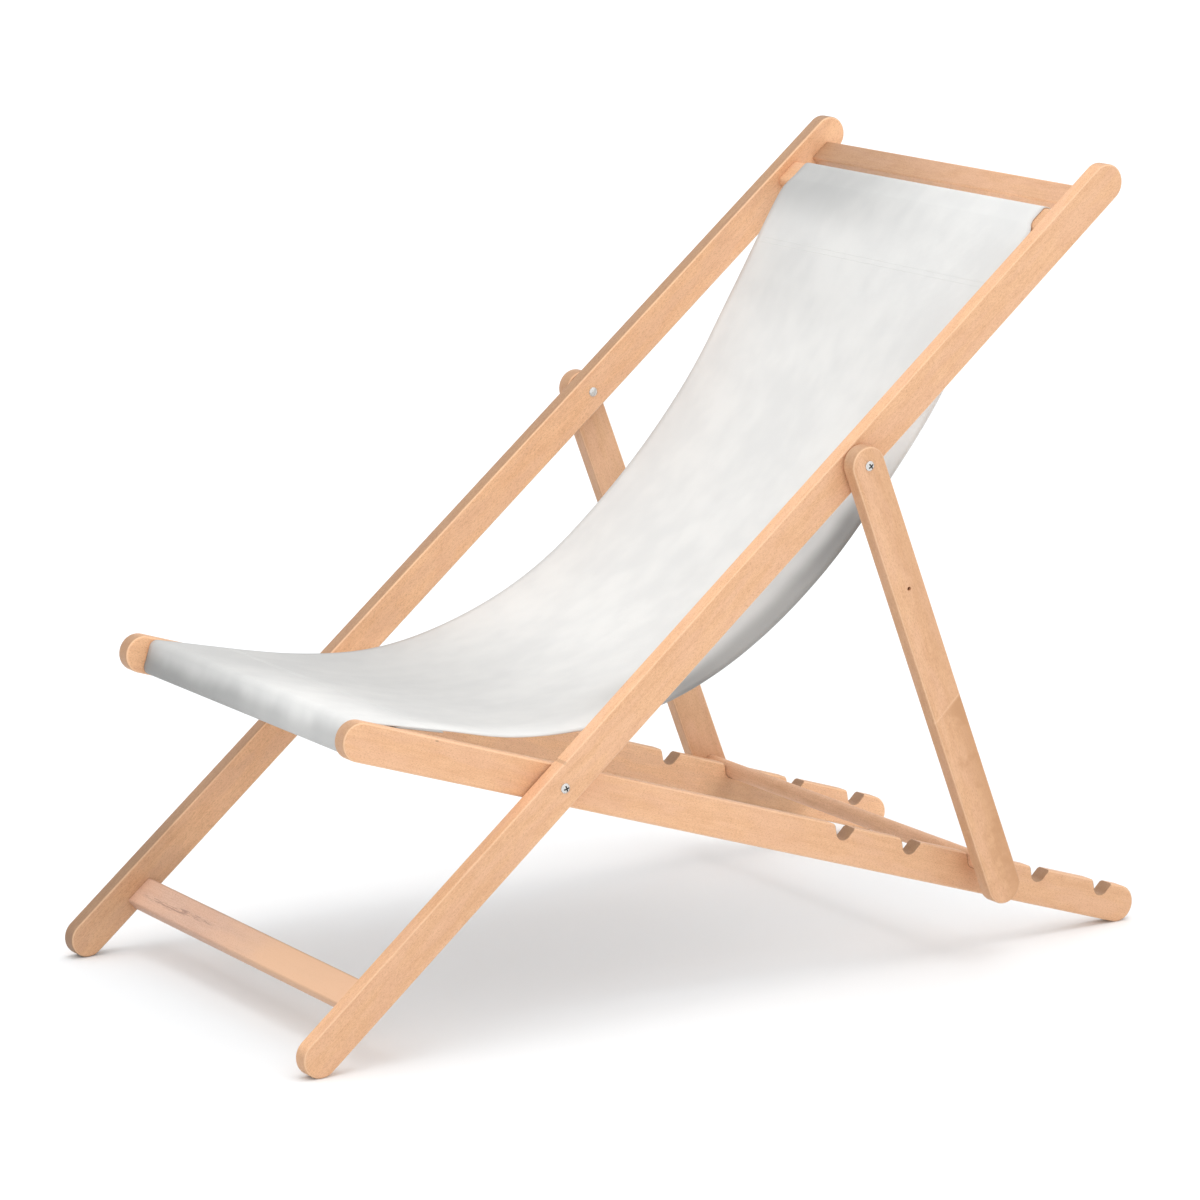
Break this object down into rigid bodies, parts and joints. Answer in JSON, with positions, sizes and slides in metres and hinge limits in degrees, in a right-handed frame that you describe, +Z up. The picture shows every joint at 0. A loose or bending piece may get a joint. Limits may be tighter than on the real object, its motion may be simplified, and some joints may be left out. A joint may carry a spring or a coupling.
{
  "type": "folding deck chair",
  "caption": "Folding wooden deck chair with a canvas sling, two crossed frames and a prop frame whose bar rests in notches along the seat rails",
  "frame": {"origin": "middle of the chair's box at floor level, with the back propped in the middle notch", "axes": "+X to the sitter's left, +Y from the feet of the back to the rear of the seat rails, so the sitter faces -Y, +Z up"},
  "size_m": [0.603, 1.0938, 0.8741],
  "materials": {
    "wood": "satin, smooth sanded beech",
    "foot_wood": "satin, paler and pinker board",
    "canvas": "matt plain woven canvas",
    "hardware": "zinc plated, satin"
  },
  "bodies": {
    "seat_frame": {"seat_rail_left": "wood", "seat_rail_right": "wood", "front_rail": "wood", "seat_bolt_left": "hardware", "seat_bolt_right": "hardware", "seat_nut_left": "hardware", "seat_nut_right": "hardware", "seat_washer_left": "hardware", "seat_washer_right": "hardware", "sling": "canvas"},
    "back_frame": {"back_rail_left": "wood", "back_rail_right": "wood", "top_rail": "wood", "sling_slat": "wood", "foot_rail": "foot_wood", "prop_bolt_left": "hardware", "prop_bolt_right": "hardware", "prop_nut_left": "hardware", "prop_nut_right": "hardware", "prop_washer_left": "hardware", "prop_washer_right": "hardware"},
    "prop_frame": {"prop_leg_left": "wood", "prop_leg_right": "wood", "prop_bar": "wood"}
  },
  "joints": [
    {"name": "back_lift", "type": "hinge", "parent": "seat_frame", "child": "back_frame", "pos_m": [0, -0.23053, 0.26711], "axis": [1, 0, 0], "range_deg": [0, 75], "deforming": ["sling"]},
    {"name": "prop_swing", "type": "hinge", "parent": "back_frame", "child": "prop_frame", "pos_m": [0, 0.14019, 0.57594], "axis": [1, 0, 0], "range_deg": [0, 110]}
  ],
  "couplings": [
    {"joint": "prop_swing", "follows": "back_lift", "ratio": 1.45}
  ]
}
